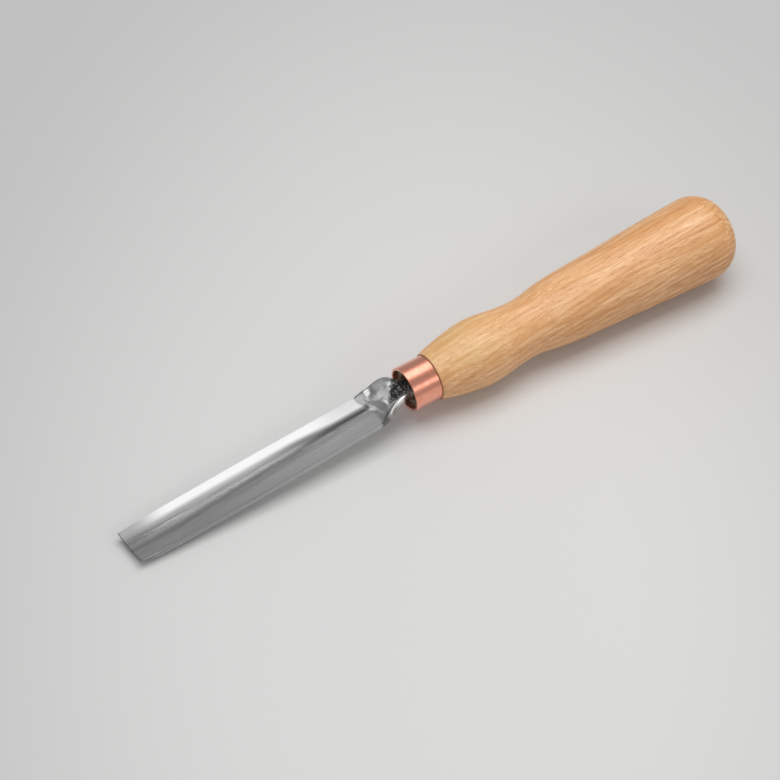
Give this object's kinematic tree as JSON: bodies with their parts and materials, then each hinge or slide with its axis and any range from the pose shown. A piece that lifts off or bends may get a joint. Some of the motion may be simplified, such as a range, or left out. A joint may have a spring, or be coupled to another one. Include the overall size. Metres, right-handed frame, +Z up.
{
  "type": "carving gouge",
  "caption": "Straight carving gouge with a shallow hollow ground along a forged blade, a gathered shoulder, a copper ferrule and a waisted ash handle.",
  "frame": {"origin": "bottom centre of the bounding box, on the surface that the tool lies on", "axes": "+X towards the butt of the handle, +Y across the blade to the left seen from the butt, +Z up with the hollow of the blade facing up"},
  "size_m": [0.2684, 0.0342, 0.0342],
  "materials": {
    "blade_steel": "ground along its length, black forge scale at the neck",
    "copper": "satin copper tube",
    "ash_wood": "satin oiled ash",
    "bedding_resin": "dark cured resin"
  },
  "bodies": {
    "root": {"gouge_blade": "blade_steel", "ferrule": "copper", "handle": "ash_wood", "tang_bedding": "bedding_resin"}
  },
  "joints": []
}
